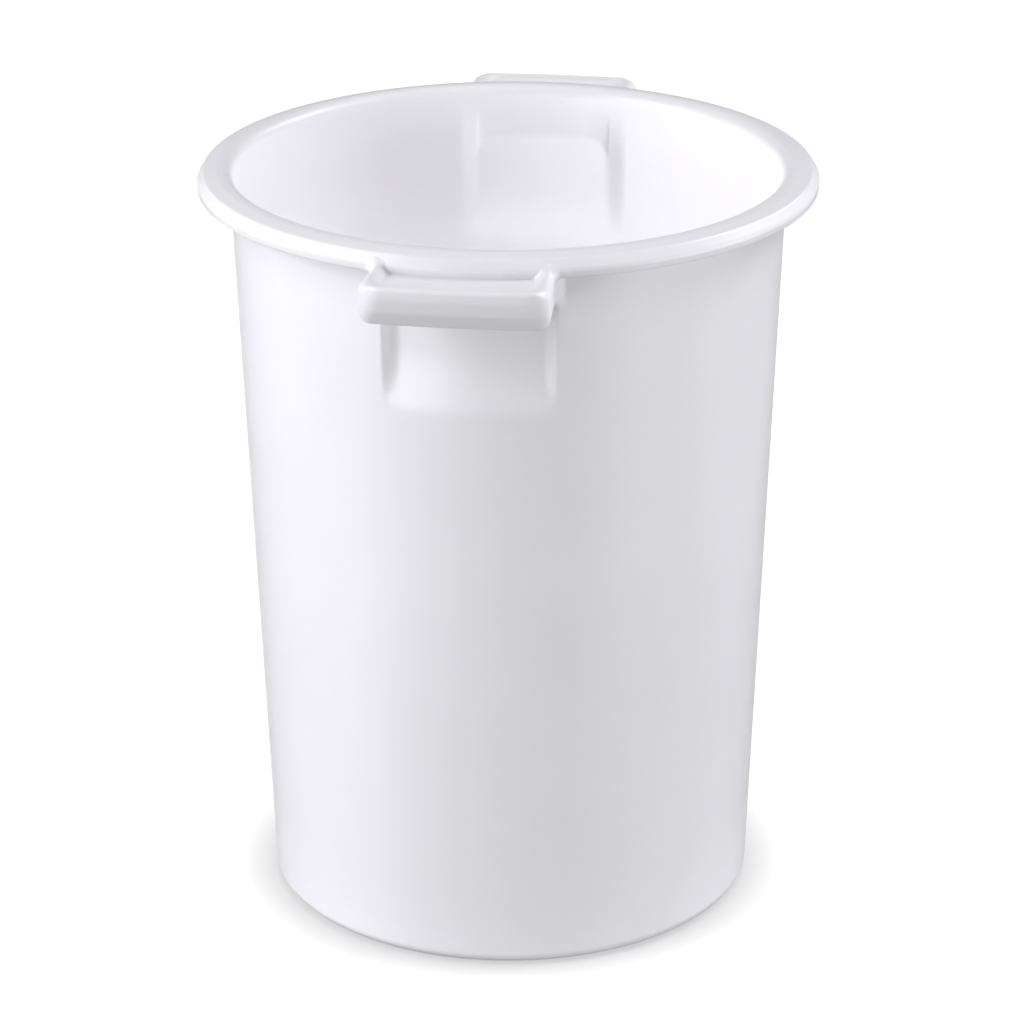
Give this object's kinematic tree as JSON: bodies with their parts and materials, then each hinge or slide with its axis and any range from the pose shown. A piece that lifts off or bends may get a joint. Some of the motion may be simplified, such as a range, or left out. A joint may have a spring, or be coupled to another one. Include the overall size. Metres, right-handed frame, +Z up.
{
  "type": "plastic barrel",
  "caption": "Tapered round white plastic barrel, open at the top, with a turned-down rim, a rounded heel and a moulded hand grip over a finger recess on opposite sides.",
  "frame": {"origin": "on the floor, under the centre of the base", "axes": "+Z up along the barrel's axis, +Y towards the rear grip, +X to the right of someone facing the front grip"},
  "size_m": [0.42, 0.5012, 0.5214],
  "materials": {
    "white_polyethylene": "cool white moulded polyethylene, satin, with a fine even grain and slightly glossier rounded edges"
  },
  "bodies": {
    "root": {"floor_pan": "white_polyethylene", "side_wall": "white_polyethylene", "rim": "white_polyethylene", "front_finger_recess": "white_polyethylene", "rear_finger_recess": "white_polyethylene", "front_grip_web": "white_polyethylene", "rear_grip_web": "white_polyethylene", "front_grip_lip": "white_polyethylene", "rear_grip_lip": "white_polyethylene", "front_left_ear": "white_polyethylene", "front_right_ear": "white_polyethylene", "rear_left_ear": "white_polyethylene", "rear_right_ear": "white_polyethylene"}
  },
  "joints": []
}
